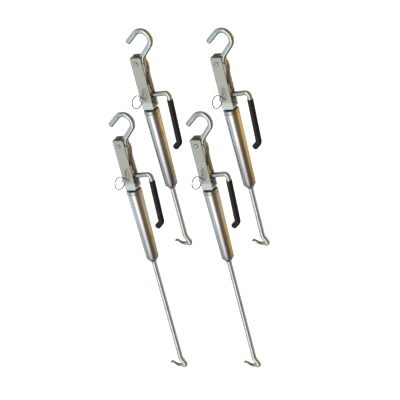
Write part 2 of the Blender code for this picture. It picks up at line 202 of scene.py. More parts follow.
def loft(name, rows, sides=40, closed=False, ripple=None):
    """A skin over round sections along a plane path. A zero radius makes a pole.

    It stores each point's place along and round the bar, which the brushed looks follow."""
    verts, grain, rings = [], [], []
    run = 0.0
    last = None
    for place, way, radius in rows:
        if last is not None:
            run += (place - last).length
        last = place
        across = Vector((-way.y, way.x))
        if radius == 0.0:
            rings.append([len(verts)])
            verts.append((place.x, place.y, 0.0))
            grain.append((run, 0.0, 0.0))
            continue
        ring = []
        for k in range(sides):
            angle = 2 * math.pi * k / sides
            size = radius(angle) if callable(radius) else radius
            if ripple:
                size += ripple(run, angle)
            c, s = math.cos(angle), math.sin(angle)
            ring.append(len(verts))
            verts.append((place.x + across.x * size * c, place.y + across.y * size * c, size * s))
            grain.append((run, size * c, size * s))
        rings.append(ring)
    faces = []
    pairs = list(zip(rings, rings[1:]))
    if closed:
        pairs.append((rings[-1], rings[0]))
    for a, b in pairs:
        for k in range(sides):
            n = (k + 1) % sides
            if len(a) == 1 and len(b) == 1:
                continue
            if len(a) == 1:
                faces.append((a[0], b[n], b[k]))
            elif len(b) == 1:
                faces.append((a[k], a[n], b[0]))
            else:
                faces.append((a[k], a[n], b[n], b[k]))
    return solid(name, verts, faces, grain)


def turned(name, profile, sides=64, closed=True, ripple=None):
    """A (radius, height) profile turned about Y."""
    way = Vector((0.0, -1.0))
    rows = [(Vector((0.0, y)), way, r) for r, y in profile]
    return loft(name, rows, sides, closed, ripple)


def solid(name, verts, faces, grain=None, sharp=35):
    """A mesh from millimetres, with outward normals."""
    mesh = bpy.data.meshes.new(name)
    mesh.from_pydata([(x * MM, y * MM, z * MM) for x, y, z in verts], [], faces)
    if grain:
        layer = mesh.attributes.new("grain", "FLOAT_VECTOR", "POINT")
        layer.data.foreach_set("vector", np.array(grain, np.float32).ravel() * MM)
    mesh.validate()
    mesh.update()
    if volume(mesh) < 0:
        mesh.flip_normals()
    mesh.shade_smooth()
    mesh.set_sharp_from_angle(angle=math.radians(sharp))
    return mesh


def volume(mesh):
    mesh.calc_loop_triangles()
    co = np.zeros(len(mesh.vertices) * 3)
    mesh.vertices.foreach_get("co", co)
    co = co.reshape(-1, 3)
    tri = np.array([t.vertices for t in mesh.loop_triangles])
    a, b, c = co[tri[:, 0]], co[tri[:, 1]], co[tri[:, 2]]
    return float(np.einsum("ij,ij->i", a, np.cross(b, c)).sum()) / 6


def rounded(profile, radius, steps=4):
    """A closed (radius, height) profile with its corners rounded where there is room."""
    out = []
    count = len(profile)
    for i in range(count):
        before, corner, after = (Vector(profile[j % count]) for j in (i - 1, i, i + 1))
        into, away = corner - before, after - corner
        turn = abs(math.atan2(into.x * away.y - into.y * away.x, into.dot(away)))
        size = min(radius, 0.45 * into.length / max(math.tan(turn / 2), 1e-6))
        size = min(size, 0.45 * away.length / max(math.tan(turn / 2), 1e-6))
        if turn < math.radians(12) or size < 0.02:
            out.append(tuple(corner))
            continue
        path = bent([tuple(before), tuple(corner), tuple(after)], (size,), steps)
        out += [tuple(p) for p in path[1:-1]]
    return out


def prism(name, outline, low, high, axis="z"):
    """An outline extruded along an axis. The outline is in the other two, in order."""
    verts = []
    for level in (low, high):
        for a, b in outline:
            verts.append({"z": (a, b, level), "y": (a, level, b), "x": (level, a, b)}[axis])
    n = len(outline)
    faces = [tuple(range(n)), tuple(range(2 * n - 1, n - 1, -1))]
    faces += [(i, i + n, (i + 1) % n + n, (i + 1) % n) for i in range(n)]
    mesh = solid(name, verts, faces)
    return mesh


def moved(mesh, matrix):
    mesh.transform(matrix)
    mesh.update()
    return mesh


def joined_by(name, mesh, steps, bevel=0.0, looks=()):
    """The mesh after Boolean steps and a bevel, applied, with its cutters removed.

    A second look goes on the bevels."""
    for look in looks:
        mesh.materials.append(look)
    obj = bpy.data.objects.new(name, mesh)
    bpy.context.scene.collection.objects.link(obj)
    cutters = []
    for kind, cutter_mesh in steps:
        cutter = bpy.data.objects.new("cutter", cutter_mesh)
        bpy.context.scene.collection.objects.link(cutter)
        cutters.append(cutter)
        modifier = obj.modifiers.new(kind, "BOOLEAN")
        modifier.operation = kind
        modifier.solver = "EXACT"
        modifier.object = cutter
    if bevel:
        edges = obj.modifiers.new("bevel", "BEVEL")
        edges.width = bevel * MM
        edges.segments = 2
        edges.limit_method = "ANGLE"
        edges.angle_limit = math.radians(35)
        edges.use_clamp_overlap = True
        edges.miter_outer = "MITER_ARC"
        edges.material = len(looks) - 1
    made = applied(obj, name)
    for cutter in cutters:
        bpy.data.objects.remove(cutter)
    made.shade_smooth()
    made.set_sharp_from_angle(angle=math.radians(32))
    return weighted(made) if bevel else made


def weighted(mesh):
    """The mesh with normals that keep its large faces flat."""
    obj = bpy.data.objects.new(mesh.name, mesh)
    bpy.context.scene.collection.objects.link(obj)
    modifier = obj.modifiers.new("weighted", "WEIGHTED_NORMAL")
    modifier.keep_sharp = True
    modifier.weight = 100
    return applied(obj, mesh.name)


def applied(obj, name):
    """The object's mesh with its modifiers applied. The object is removed."""
    bpy.context.view_layer.update()
    graph = bpy.context.evaluated_depsgraph_get()
    made = bpy.data.meshes.new_from_object(obj.evaluated_get(graph))
    made.name = name
    bpy.data.objects.remove(obj)
    return made


def drill(radius, at, low, high, axis="z", sides=40):
    """A round cutter along an axis, at a place in the other two."""
    circle = arc(at, radius, 0, 360, sides)[:-1]
    return prism("drill", circle, low, high, axis)


def round_box_outline(half, radius, front):
    """A U's section in X and Z: rounded at its two back corners, square at its front."""
    out = [(front, -half)]
    out += [tuple(p) for p in arc((-half + radius, -half + radius), radius, 270, 180, 8)]
    out += [tuple(p) for p in arc((-half + radius, half - radius), radius, 180, 90, 8)]
    out += [(front, half)]
    return out


def coil(name, points, radius, sides=12, closed=False):
    """A round wire along a path in space, with its frame carried along without twist."""
    points = [Vector(p) for p in points]
    count = len(points)
    verts, grain, rings = [], [], []
    across = None
    run = 0.0
    for i, point in enumerate(points):
        ahead = points[(i + 1) % count] if closed else points[min(i + 1, count - 1)]
        behind = points[i - 1] if closed else points[max(i - 1, 0)]
        way = (ahead - behind).normalized()
        if across is None:
            across = way.orthogonal().normalized()
        across = (across - way * across.dot(way)).normalized()
        up = way.cross(across)
        size = radius(i / (count - 1)) if callable(radius) else radius
        ring = []
        for k in range(sides):
            angle = 2 * math.pi * k / sides
            offset = across * math.cos(angle) * size + up * math.sin(angle) * size
            ring.append(len(verts))
            verts.append(tuple(point + offset))
            grain.append((run, math.cos(angle) * size, math.sin(angle) * size))
        rings.append(ring)
        run += (ahead - point).length
    faces = []
    pairs = list(zip(rings, rings[1:])) + ([(rings[-1], rings[0])] if closed else [])
    for a, b in pairs:
        faces += [(a[k], a[(k + 1) % sides], b[(k + 1) % sides], b[k]) for k in range(sides)]
    if not closed:
        faces += [tuple(reversed(rings[0])), tuple(rings[-1])]
    return solid(name, verts, faces, grain)


# ---------------------------------------------------------------- the pieces' meshes

ABOUT_Z = Matrix.Rotation(math.radians(90), 4, "X")


def place(x, y, z=0.0):
    return Matrix.Translation((x * MM, y * MM, z * MM))


def channel_mesh(looks):
    half, length = CHANNEL_HALF, CHANNEL_LENGTH
    outer = prism("channel", round_box_outline(half, 2.4, half), -1, length + 1, "y")
    ends = [(-30.0, 0.0)]
    ends += [tuple(p) for p in arc((half - 1.6, 1.6), 1.6, 270, 360, 6)]
    ends += [tuple(p) for p in arc((half - 2.4, length - 2.4), 2.4, 0, 90, 6)]
    ends += [(-30.0, length)]
    # The bounding front edge is moved out a little, so that it meets no face of the section.
    ends = [(x + (0.01 if x > 0 else 0.0), y) for x, y in ends]
    inner = prism("inner", round_box_outline(INNER_HALF, 0.9, 2 * half), FOOT_PLATE, 2 * length, "y")
    steps = [
        ("INTERSECT", prism("ends", ends, -20, 20)),
        ("DIFFERENCE", inner),
        ("DIFFERENCE", drill(BOLT_RADIUS + GAP, (0, 0), -5, 8, "y")),
        ("DIFFERENCE", drill(PIN_HOLE, LEVER_PIN, -20, 20)),
        ("DIFFERENCE", drill(PIN_HOLE, LOCK, -20, 20)),
    ]
    return joined_by("channel", outer, steps, 0.32, looks)


def lever_frame_mesh(looks):
    """Two cheeks with round heads and noses that stand out past the channel, joined by a back."""
    outline = [(p.x, p.y) for p in arc((0, 0), 8.1, 60, 180, 16)]
    outline += [(-8.1, -62.0), (-4.0, -66.0), (9.0, -64.0), (9.5, -42.0), (15.8, -15.0), (15.8, -4.0)]
    outline = [(x + LEVER_PIN[0], y + LEVER_PIN[1]) for x, y in rounded(outline, 2.2)]
    body = prism("lever_frame", outline, -CHEEK_OUTER, CHEEK_OUTER)
    back, over = -6.7, LEVER_PIN[1] - 6.0
    inside = [(back, -50), (50, -50), (50, 150), (-50, 150), (-50, over), (back, over)]
    steps = [
        ("DIFFERENCE", prism("inside", inside, -CHEEK_INNER, CHEEK_INNER)),
        ("DIFFERENCE", drill(PIN_HOLE, LEVER_PIN, -20, 20)),
        ("DIFFERENCE", drill(LINK_HOLE, LINK_PIN, -20, 20)),
    ]
    return joined_by("lever_frame", body, steps, 0.28, looks)


def rivet_mesh():
    """A rivet with a low button head at each end."""
    top, head, shank = CHANNEL_HALF + GAP, 4.6, 3.0
    dome = [(0.0, top + 2.3), (2.4, top + 2.2), (3.5, top + 1.95), (4.1, top + 1.6), (4.45, top + 1.1)]
    dome += [(head, top + 0.6), (head, top + 0.3), (head - 0.25, top), (shank, top), (shank, top - 0.6)]
    profile = dome + [(r, -z) for r, z in reversed(dome)]
    mesh = turned("lever_pin", profile, 48, closed=False)
    return moved(moved(mesh, ABOUT_Z), place(*LEVER_PIN))


def link_pin_mesh():
    end = CHEEK_OUTER
    profile = [(0.0, end), (2.1, end), (2.5, end - 0.4), (2.5, -end + 0.4), (2.1, -end), (0.0, -end)]
    return moved(moved(turned("link_pin", profile, 32, closed=False), ABOUT_Z), place(*LINK_PIN))


def hook_path():
    """A slightly larger bend than the CAD's, inside the same outline at its crown and its side."""
    wider, bend_end, straight_tip = 2.0, 131.4, 27.7
    bowl = arc((BOWL[0] - wider, BOWL[1] - wider), BOWL_RADIUS + wider, -38, bend_end, 52)
    shank = [
        (LINK_PIN[0], LINK_PIN[1] - 4.2),
        (LINK_PIN[0] + 0.3, LINK_PIN[1] + 7.0),
        (9.8, 90.0),
        (10.4, 106.0),
        tuple(bowl[0]),
    ]
    turn = math.radians(bend_end)
    tip = bowl[-1] + Vector((-math.sin(turn), math.cos(turn))) * straight_tip
    return filled(bent(shank, (10.0, 10.0, 18.0), 8)[:-1] + bowl + [tip], 3.0)


def top_hook_mesh():
    rows = stations(hook_path(), HOOK_RADIUS, tip=1.1, tail=1.5)
    bar = loft("top_hook", rows, 48)
    return joined_by("top_hook", bar, [("DIFFERENCE", drill(LINK_HOLE, LINK_PIN, -20, 20))])


def arm_path():
    foot = (43.0, -77.5)
    corners = [(ARM_SIDE, 49.0), (ARM_SIDE, 26.0), (47.5, 30.0), foot, (foot[0] - 11.5, foot[1] - 10.0)]
    return bent(corners, (8.5, 7.5, 8.0), 12)


def lever_arm_mesh():
    return loft("lever_arm", stations(filled(arm_path(), 4.0), ARM_RADIUS, tip=0.8, tail=0.8), 40)


def grip_mesh():
    """A dipped sleeve: its bore from the arm's end back to its mouth, then its skin to its closed toe."""
    path = arm_path()
    run = [p for p in path if p.y < GRIP_TOP]
    before = [p for p in path if p.y >= GRIP_TOP][-1]
    mouth = before.lerp(run[0], (GRIP_TOP - before.y) / (run[0].y - before.y))
    way = (run[-1] - run[-2]).normalized()
    bore = stations(filled([mouth] + run[:-1] + [run[-1] + way * GAP], 5.0), ARM_RADIUS + GAP)
    skin = stations(filled([mouth] + run[:-1] + [run[-1] + way * 1.5], 5.0), GRIP_RADIUS, tip=2.6)
    rows = [(bore[-1][0], bore[-1][1], 0.0)] + list(reversed(bore))
    point, out, _ = skin[0]
    rows += [(point, out, 5.7), (point + out * 0.2, out, 6.02)]
    rows += [(point + out * 0.6, out, GRIP_RADIUS)] + skin[1:]
    return loft("grip", rows, 40)


def weld_mesh(side):
    """A lumpy fillet of weld along the arm, against one cheek."""
    path = [Vector((ARM_SIDE - 1.6, y)) for y in np.linspace(47.0, 33.0, 40)]
    rows = stations(path, 1.25, tip=0.7, tail=0.7)
    mesh = loft("lever_weld", rows, 16, ripple=lambda run, angle: -0.12 + 0.12 * math.cos(run * 4.2))
    return moved(mesh, place(0, 0, side * (CHEEK_INNER - 0.9)))


def lock_pin_mesh():
    wall, top, point = CHANNEL_HALF + GAP, LOCK_EYE + 3.6, -CHANNEL_HALF - 1.8
    profile = [(0.0, top), (2.6, top), (3.4, top - 0.2), (4.0, top - 0.8), (4.2, top - 1.5)]
    profile += [(4.2, wall + 0.35), (3.9, wall), (3.0, wall), (3.0, wall - 0.5)]
    profile += [(3.0, point + 1.0), (2.6, point + 0.3), (1.9, point), (0.0, point)]
    pin = moved(moved(turned("lock_pin", profile, 40, closed=False), ABOUT_Z), place(*LOCK))
    eye = drill(1.9, (LOCK[0], LOCK_EYE), LOCK[1] - 10, LOCK[1] + 10, "y", 28)
    return joined_by("lock_pin", pin, [("DIFFERENCE", eye)])


def split_ring_mesh():
    """Two turns of spring wire, side by side, with the step between them opposite the pin."""
    radius, turns, count = 12.5, 2.0, 128
    turn = Matrix.Rotation(math.radians(-18), 3, "Y")
    points = []
    for i in range(count + 1):
        share = i / count
        angle = 2 * math.pi * (turns * share) + math.radians(150)
        step = min(1.0, max(0.0, (share - 0.46) / 0.08))
        side = -0.44 + 0.88 * step * step * (3 - 2 * step)
        local = Vector((side, radius * math.sin(angle), radius * (1 - math.cos(angle))))
        points.append(Vector((LOCK[0], LOCK[1], LOCK_EYE)) + turn @ local)
    thin = lambda share: 0.78 * min(1.0, 0.35 + 40 * min(share, 1 - share))
    return coil("lock_ring", points, thin, 12)


def hexagon(radius):
    """The distance to a hexagon's side at an angle, for a hexagon of that corner radius."""
    flat = radius * math.cos(math.radians(30))
    third = math.radians(60)
    return lambda angle: flat / math.cos((angle + third / 2) % third - third / 2)


def draw_bolt_mesh():
    head, collar, foot = FOOT_PLATE + GAP, BARREL_TOP + GAP, BARREL_TOP - BOLT_LENGTH
    six = hexagon(8.0)
    domed = lambda angle: min(six(angle), 7.1)
    profile = [(0.0, head + 5.0), (6.4, head + 5.0), (domed, head + 4.7), (six, head + 4.2)]
    profile += [(six, head + 0.5), (6.9, head + 0.4), (6.9, head), (BOLT_RADIUS, head)]
    profile += [(BOLT_RADIUS, -GAP), (8.7, -GAP), (9.2, -GAP - 0.4), (9.2, collar + 0.4), (8.7, collar)]
    profile += [(BOLT_RADIUS, collar), (BOLT_RADIUS, foot), (10.2, foot), (10.7, foot - 0.5)]
    profile += [(10.7, foot - 3.5), (10.2, foot - 4.0), (0.0, foot - 4.0)]
    way = Vector((0.0, -1.0))
    return loft("draw_bolt", [(Vector((0.0, y)), way, r) for r, y in profile], 48)


def spring_mesh():
    top, foot = BARREL_TOP - CAP_BAND - 4.0 - GAP - 1.5, BARREL_TOP - BOLT_LENGTH + GAP + 1.5
    turns, count = 9.0, 9 * 20
    points = []
    for i in range(count + 1):
        share = i / count
        eased = min(1.0, max(0.0, (share - 0.11) / 0.78))
        flat = 1.6 * (min(share, 0.11) + max(0.0, share - 0.89)) / 0.22
        y = top - flat - (top - foot - 1.6) * eased
        angle = 2 * math.pi * turns * share
        points.append((8.6 * math.cos(angle), y, 8.6 * math.sin(angle)))
    return coil("spring", points, 1.45, 12)


def top_cap_mesh():
    """A plug with a rolled shoulder, and a band that sits on the tube."""
    bore, plug, roll = BOLT_RADIUS + GAP, BARREL_BORE - GAP, 3.0
    profile = [(bore, 0.0)]
    for angle in (0, 15, 30, 45, 60, 75, 90):
        a = math.radians(angle)
        profile.append((BARREL_RADIUS - roll * (1 - math.sin(a)), -roll * (1 - math.cos(a))))
    profile += [(BARREL_RADIUS, -CAP_BAND + 0.8), (BARREL_RADIUS - 0.12, -CAP_BAND + 0.45)]
    profile += [(BARREL_RADIUS - 0.45, -CAP_BAND + GAP), (plug, -CAP_BAND + GAP)]
    profile += [(plug, -CAP_BAND - 4.0), (bore, -CAP_BAND - 4.0)]
    return turned("top_cap", [(r, y + BARREL_TOP) for r, y in profile], 72)


def barrel_mesh(length):
    top, foot = BARREL_TOP - CAP_BAND, BARREL_TOP - length
    share = lambda y: (top - y) / (top - foot)
    skin = lambda y: BARREL_RADIUS - (BARREL_RADIUS - BARREL_FOOT_RADIUS) * share(y)
    profile = [(BARREL_BORE, top), (BARREL_RADIUS - 0.4, top), (BARREL_RADIUS - 0.12, top - 0.12)]
    heights = [top - 0.4] + list(np.linspace(top - 10, foot + 10, 9)) + [foot + 0.4]
    profile += [(skin(y), y) for y in heights]
    profile += [(BARREL_FOOT_RADIUS - 0.12, foot + 0.12), (BARREL_FOOT_RADIUS - 0.4, foot)]
    profile += [(BARREL_BORE, foot)]
    return turned("barrel_tube", profile, 72)


def end_cap_mesh(length):
    """The tapered nose: a short rim, a shoulder, a cone and a rounded lip round the rod."""
    bore, plug, rim, y = ROD_RADIUS + GAP, BARREL_BORE - GAP, BARREL_FOOT_RADIUS, BARREL_TOP - length
    profile = [(bore, 8.0), (plug, 8.0), (plug, -GAP), (rim - 0.35, -GAP), (rim - 0.1, -GAP - 0.1)]
    profile += [(rim, -GAP - 0.35), (rim, -1.3), (rim - 0.25, -2.2), (rim - 0.9, -3.1), (rim - 1.9, -4.1)]
    profile += [(9.3, -5.9), (8.2, -7.5), (7.5, -8.7), (7.2, -9.5), (6.9, -10.1), (6.4, -10.4)]
    profile += [(5.9, -CONE_LENGTH), (bore, -10.1)]
    return turned("end_cap", [(r, h + y) for r, h in profile], 72)


def hook_rod_mesh(length, reach):
    """The lower rod: cut thread inside the barrel, a long plain run, a crank and a thin return leg."""
    start, foot = BARREL_TOP - length + ROD_INSIDE, -reach
    corners = [
        (0.0, start),
        (0.0, foot),
        (9.2, foot - 17.8),
        (-11.0, foot - 16.2),
        (-21.5, foot - 8.2),
        (-25.0, foot - 11.5),
    ]
    path = cleaned(bent(corners, (12.0, 3.4, 12.0, 1.8), 10))
    thread = ROD_INSIDE + CONE_LENGTH - 3.0
    fine = [Vector((0.0, start - s)) for s in np.arange(0.0, thread + 1.0, 0.4)]
    path = fine + filled([fine[-1]] + [p for p in path if p.y < fine[-1].y - 0.5], 6.0)[1:]
    lowest = min(range(len(path)), key=lambda i: path[i].y)
    runs = [0.0]
    for a, b in zip(path[lowest:], path[lowest + 1:]):
        runs.append(runs[-1] + (b - a).length)
    radii = []
    for i in range(len(path)):
        past = 0.0 if i <= lowest else runs[i - lowest] / runs[-1]
        lead = max(0.0, min(1.0, (i - lowest + 6) / 6)) * 0.08
        radii.append(ROD_RADIUS * max(0.42, 1.0 - lead - 0.56 * past ** 0.8))
    def cut(run, angle):
        if run > thread:
            return 0.0
        phase = (run / 1.6 + angle / (2 * math.pi)) % 1.0
        fade = min(1.0, (thread - run) / 3.0, run / 1.0)
        return -0.55 * fade * (1 - abs(2 * phase - 1))
    return loft("hook_rod", stations(path, radii, tip=0.7, tail=0.6), 40, ripple=cut)


# ---------------------------------------------------------------- looks

class Look:
    """A Principled material, and short ways to add nodes to it."""

    def __init__(self, name, colour, metallic, roughness):
        self.material = bpy.data.materials.new(name)
        self.material.use_nodes = True
        self.tree = self.material.node_tree
        self.shader = self.tree.nodes["Principled BSDF"]
        self.shader.inputs["Base Color"].default_value = (*colour, 1.0)
        self.shader.inputs["Metallic"].default_value = metallic
        self.shader.inputs["Roughness"].default_value = roughness
        self.normal = None

    def node(self, kind, inputs=None, **settings):
        made = self.tree.nodes.new(kind)
        for key, value in settings.items():
            setattr(made, key, value)
        for key, value in (inputs or {}).items():
            if isinstance(value, bpy.types.NodeSocket):
                self.tree.links.new(value, made.inputs[key])
            else:
                made.inputs[key].default_value = value
        return made

    def place(self):
        """The point in the piece's own space, shifted by a different amount for each piece."""
        where = self.node("ShaderNodeTexCoord").outputs["Object"]
        return self.shift(where)

    def grain(self):
        where = self.node("ShaderNodeAttribute", attribute_name="grain").outputs["Vector"]
        return self.shift(where)

    def height(self):
        """The place along the turnbuckle, in metres."""
        where = self.node("ShaderNodeTexCoord").outputs["Object"]
        return self.node("ShaderNodeSeparateXYZ", {0: where}).outputs["Y"]

    def shift(self, where):
        chance = self.node("ShaderNodeObjectInfo").outputs["Random"]
        apart = self.node("ShaderNodeVectorMath", {0: (0.37, 0.21, 0.53)}, operation="SCALE")
        self.tree.links.new(chance, apart.inputs["Scale"])
        return self.node("ShaderNodeVectorMath", {0: where, 1: apart.outputs[0]}).outputs[0]

    def noise(self, where, scale, detail=3.0, rough=0.55):
        """Noise with a scale for each axis, in waves per metre."""
        scaled = self.node("ShaderNodeVectorMath", {0: where, 1: scale}, operation="MULTIPLY")
        inputs = {"Vector": scaled.outputs[0], "Scale": 1.0, "Detail": detail, "Roughness": rough}
        return self.node("ShaderNodeTexNoise", inputs).outputs["Fac"]

    def ramp(self, value, stops):
        made = self.node("ShaderNodeValToRGB", {"Fac": value})
        elements = made.color_ramp.elements
        while len(elements) < len(stops):
            elements.new(0.5)
        for element, (at, colour) in zip(elements, stops):
            element.position = at
            element.color = (*colour, 1.0) if len(colour) == 3 else colour
        return made.outputs["Color"]

    def map(self, value, low, high, to_low, to_high):
        inputs = {"Value": value, "From Min": low, "From Max": high, "To Min": to_low, "To Max": to_high}
        return self.node("ShaderNodeMapRange", inputs).outputs["Result"]

    def mix(self, factor, a, b, blend="MIX"):
        made = self.node("ShaderNodeMix", data_type="RGBA", blend_type=blend)
        for socket, value in ((made.inputs[0], factor), (made.inputs[6], a), (made.inputs[7], b)):
            if isinstance(value, bpy.types.NodeSocket):
                self.tree.links.new(value, socket)
            else:
                socket.default_value = (*value, 1.0) if isinstance(value, tuple) else value
        return made.outputs[2]

    def bump(self, height, strength, distance):
        inputs = {"Height": height, "Strength": strength, "Distance": distance}
        if self.normal:
            inputs["Normal"] = self.normal
        self.normal = self.node("ShaderNodeBump", inputs).outputs["Normal"]

    def finish(self, colour=None, roughness=None):
        for key, value in (("Base Color", colour), ("Roughness", roughness), ("Normal", self.normal)):
            if value is not None:
                self.tree.links.new(value, self.shader.inputs[key])
        return self.material


def cap_to_one(colour, gain):
    return tuple(min(1.0, c * gain) for c in colour)


def thin_share(look):
    """How far a bar has thinned down, from its stored place round its own axis."""
    grain = look.node("ShaderNodeAttribute", attribute_name="grain").outputs["Vector"]
    across = look.node("ShaderNodeVectorMath", {0: grain, 1: (0.0, 1.0, 1.0)}, operation="MULTIPLY")
    length = look.node("ShaderNodeVectorMath", {0: across.outputs[0]}, operation="LENGTH")
    return look.map(length.outputs["Value"], 0.0042, 0.0034, 0.0, 1.0)


def foot_light_share(look):
    """How near a point is to the foot of the channel, where the sheet is painted lighter and bluer: painted
    light.
    """
    return look.map(look.height(), 0.016, 0.012, 0.0, 0.9)


def zinc_look(name, base, dark, rough_low, rough_high, streaks, along_bar, thin_leg_shade=None):
    """Bright zinc plate: clouded, faintly blue and straw in patches, with fine drawn lines.

    With thin_leg_shade, the bar is painted darker where it has thinned down: painted shade on the rod's
    return leg."""
    look = Look(name, base, 1.0 if along_bar else 0.84, (rough_low + rough_high) / 2)
    where = look.place()
    lines = look.grain() if along_bar else where
    cloud = look.noise(where, (160, 160, 160), 4.0)
    drawn = look.noise(lines, streaks, 2.0)
    specks = look.noise(where, (2600, 2600, 2600), 1.0)
    colour = look.ramp(cloud, [(0.30, dark), (0.52, base), (0.75, cap_to_one(base, 1.10))])
    tint = look.ramp(look.noise(where, (70, 45, 70), 2.0), [
        (0.35, (0.80, 0.90, 1.0)), (0.50, (1.0, 1.0, 1.0)), (0.66, (1.0, 0.93, 0.78))])
    colour = look.mix(0.35, colour, tint, "MULTIPLY")
    lined = look.ramp(drawn, [(0.35, (0.55, 0.55, 0.55)), (0.6, (1, 1, 1))])
    colour = look.mix(0.16, colour, lined, "MULTIPLY")
    rough = look.map(cloud, 0.3, 0.7, rough_high, rough_low)
    rough = look.node("ShaderNodeMath", {0: rough, 1: look.map(drawn, 0.3, 0.7, 0.05, -0.03)}).outputs[0]
    look.bump(drawn, 0.06, 0.0001)
    look.bump(specks, 0.05, 0.00006)
    look.shader.inputs["Specular Tint"].default_value = (0.45, 0.45, 0.45, 1.0)
    if thin_leg_shade:
        # Painted shade: where the bar has thinned down, on the rod's return leg, it is painted dark olive.
        colour = look.mix(thin_share(look), colour, thin_leg_shade)
    if not along_bar:
        # Painted light: the sheet is painted lighter and bluer towards the channel's foot.
        colour = look.mix(foot_light_share(look), colour, (0.90, 0.97, 1.0))
    return look.finish(colour, rough)


def steel_look(name, base, foot_shade, rough):
    """Polished stainless tube: fine rings of polishing, long light scratches, rougher and painted darker
    towards its foot (painted shade).
    """
    look = Look(name, base, 1.0, rough)
    where = look.place()
    rings = look.noise(where, (60, 5200, 60), 2.0)
    long_lines = look.noise(look.grain(), (9, 1900, 1900), 3.0)
    cloud = look.noise(where, (90, 30, 90), 3.0)
    # Painted shade: towards its foot the tube is painted darker, where its reflected highlight fades.
    low = look.map(look.height(), -0.06, -0.16, 0.0, 1.0)
    colour = look.mix(low, base, foot_shade)
    clouded = look.ramp(cloud, [(0.3, (0.72, 0.72, 0.74)), (0.6, (1, 1, 1))])
    scratched = look.ramp(long_lines, [(0.36, (0.35, 0.35, 0.35)), (0.5, (1, 1, 1))])
    colour = look.mix(0.35, colour, clouded, "MULTIPLY")
    colour = look.mix(0.16, colour, scratched, "MULTIPLY")
    wear = look.map(cloud, 0.35, 0.7, rough + 0.05, rough - 0.02)
    wear = look.node("ShaderNodeMath", {0: wear, 1: look.map(low, 0.0, 1.0, 0.0, 0.10)}).outputs[0]
    look.bump(rings, 0.05, 0.0001)
    look.bump(long_lines, 0.06, 0.0001)
    return look.finish(colour, wear)


def cap_look():
    """The cap: as bright as the tube on its band, with its top painted dark and rough: painted shade under
    the channel's foot.
    """
    look = Look("cap_plating", (0.6, 0.6, 0.6), 1.0, 0.2)
    where = look.place()
    cloud = look.noise(where, (240, 240, 240), 4.0)
    # Painted shade: the top face, shaded by the channel's foot, is painted dark.
    top = look.map(look.height(), -0.0044, -0.0034, 0.0, 1.0)
    bright = look.ramp(cloud, [(0.3, (0.52, 0.53, 0.54)), (0.6, (0.66, 0.66, 0.66))])
    top_shade = look.ramp(cloud, [(0.3, (0.10, 0.12, 0.14)), (0.65, (0.22, 0.25, 0.28))])
    look.bump(look.noise(where, (60, 4200, 60), 2.0), 0.06, 0.0001)
    rough = look.map(look.node("ShaderNodeMath", {0: top, 1: cloud}).outputs[0], 0.3, 1.6, 0.14, 0.42)
    return look.finish(look.mix(top, bright, top_shade), rough)


def dull_look(name, dark, light, low, high):
    """Grey phosphate or oiled steel, mottled."""
    look = Look(name, light, 1.0, (low + high) / 2)
    where = look.place()
    cloud = look.noise(where, (420, 420, 420), 5.0, 0.62)
    look.bump(look.noise(where, (2200, 2200, 2200), 2.0), 0.22, 0.0002)
    return look.finish(look.ramp(cloud, [(0.32, dark), (0.62, light)]), look.map(cloud, 0.3, 0.7, high, low))


def edge_look():
    """Zinc with its plating rubbed bright along sheared edges."""
    look = Look("worn_zinc_edge", (0.80, 0.79, 0.76), 1.0, 0.2)
    cloud = look.noise(look.place(), (900, 900, 900), 3.0)
    colour = look.ramp(cloud, [(0.36, (0.60, 0.60, 0.58)), (0.55, (0.86, 0.84, 0.79))])
    return look.finish(colour, look.map(cloud, 0.3, 0.7, 0.30, 0.14))


def vinyl_look():
    """Dipped black vinyl: an orange-peel skin with long soft runs, dusty and rubbed in places."""
    look = Look("black_vinyl", (0.02, 0.018, 0.016), 0.0, 0.4)
    where, lines = look.place(), look.grain()
    peel = look.noise(where, (1500, 1500, 1500), 2.0)
    runs = look.noise(lines, (45, 260, 260), 3.0)
    rubbed = look.noise(where, (130, 130, 130), 4.0, 0.6)
    colour = look.ramp(rubbed, [
        (0.40, (0.005, 0.0045, 0.004)), (0.62, (0.010, 0.009, 0.007)), (0.80, (0.026, 0.022, 0.017))])
    look.shader.inputs["Specular IOR Level"].default_value = 0.16
    look.shader.inputs["Coat Weight"].default_value = 0.28
    look.shader.inputs["Coat Roughness"].default_value = 0.22
    look.bump(runs, 0.35, 0.0006)
    look.bump(peel, 0.16, 0.00025)
    return look.finish(colour, look.map(rubbed, 0.3, 0.75, 0.30, 0.50))


# ---------------------------------------------------------------- light and camera

def rgb(r, g, b, gain=1.0):
    """A screen colour from 0 to 255 as scene light."""
    return tuple(gain * (c / 255) ** 2.2 for c in (r, g, b))


# The studio round the object, as bands of light along its length: (degrees from overhead towards +X, light).
BANDS = (
    (-180, rgb(190, 198, 202)),
    (-150, rgb(204, 216, 222)),
    (-100, rgb(196, 212, 220)),
    (-84, rgb(196, 210, 218)),
    (-66, rgb(192, 202, 206)),
    (-52, rgb(188, 191, 184)),
    (-44, rgb(204, 206, 204)),
    (-38, rgb(234, 236, 238)),
    (-31, rgb(255, 255, 255, 1.3)),
    (-4, rgb(255, 255, 255, 1.3)),
    (5, rgb(214, 214, 212)),
    (13, rgb(160, 156, 150)),
    (21, rgb(122, 114, 104)),
    (34, rgb(110, 97, 82)),
    (56, rgb(118, 98, 74)),
    (74, rgb(132, 108, 72)),
    (86, rgb(184, 150, 88)),
    (98, rgb(226, 186, 108)),
    (116, rgb(240, 200, 124)),
    (136, rgb(206, 166, 98)),
    (156, rgb(160, 136, 92)),
    (170, rgb(176, 176, 168)),
    (180, rgb(190, 198, 202)),
)


